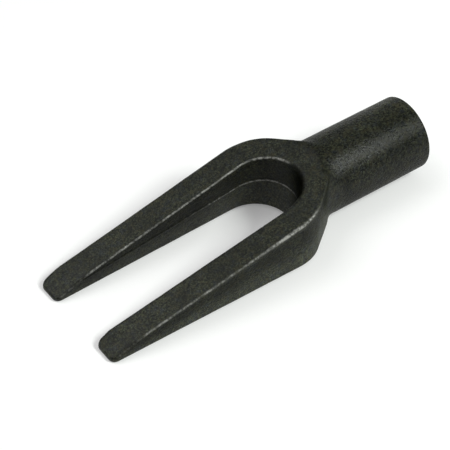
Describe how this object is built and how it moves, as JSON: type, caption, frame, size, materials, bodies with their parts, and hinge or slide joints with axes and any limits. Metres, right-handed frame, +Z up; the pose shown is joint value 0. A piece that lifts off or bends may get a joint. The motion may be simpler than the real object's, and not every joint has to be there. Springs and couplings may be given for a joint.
{
  "type": "ball joint separator",
  "caption": "Forged two-tine wedge fork with a round socketed shank, driven between a ball joint and its arm to part them.",
  "frame": {"origin": "centre of the socket's mouth", "axes": "+X along the shank, out of the socket's mouth, with the tines pointing to -X; +Z up, normal to the flat underside; +Y toward one tine"},
  "size_m": [0.13, 0.0422, 0.0254],
  "materials": {
    "forging": "black oxide over an as-forged skin, satin",
    "ring": "moulded nitrile rubber"
  },
  "bodies": {
    "root": {"fork_head": "forging", "retaining_ring": "ring"}
  },
  "joints": []
}
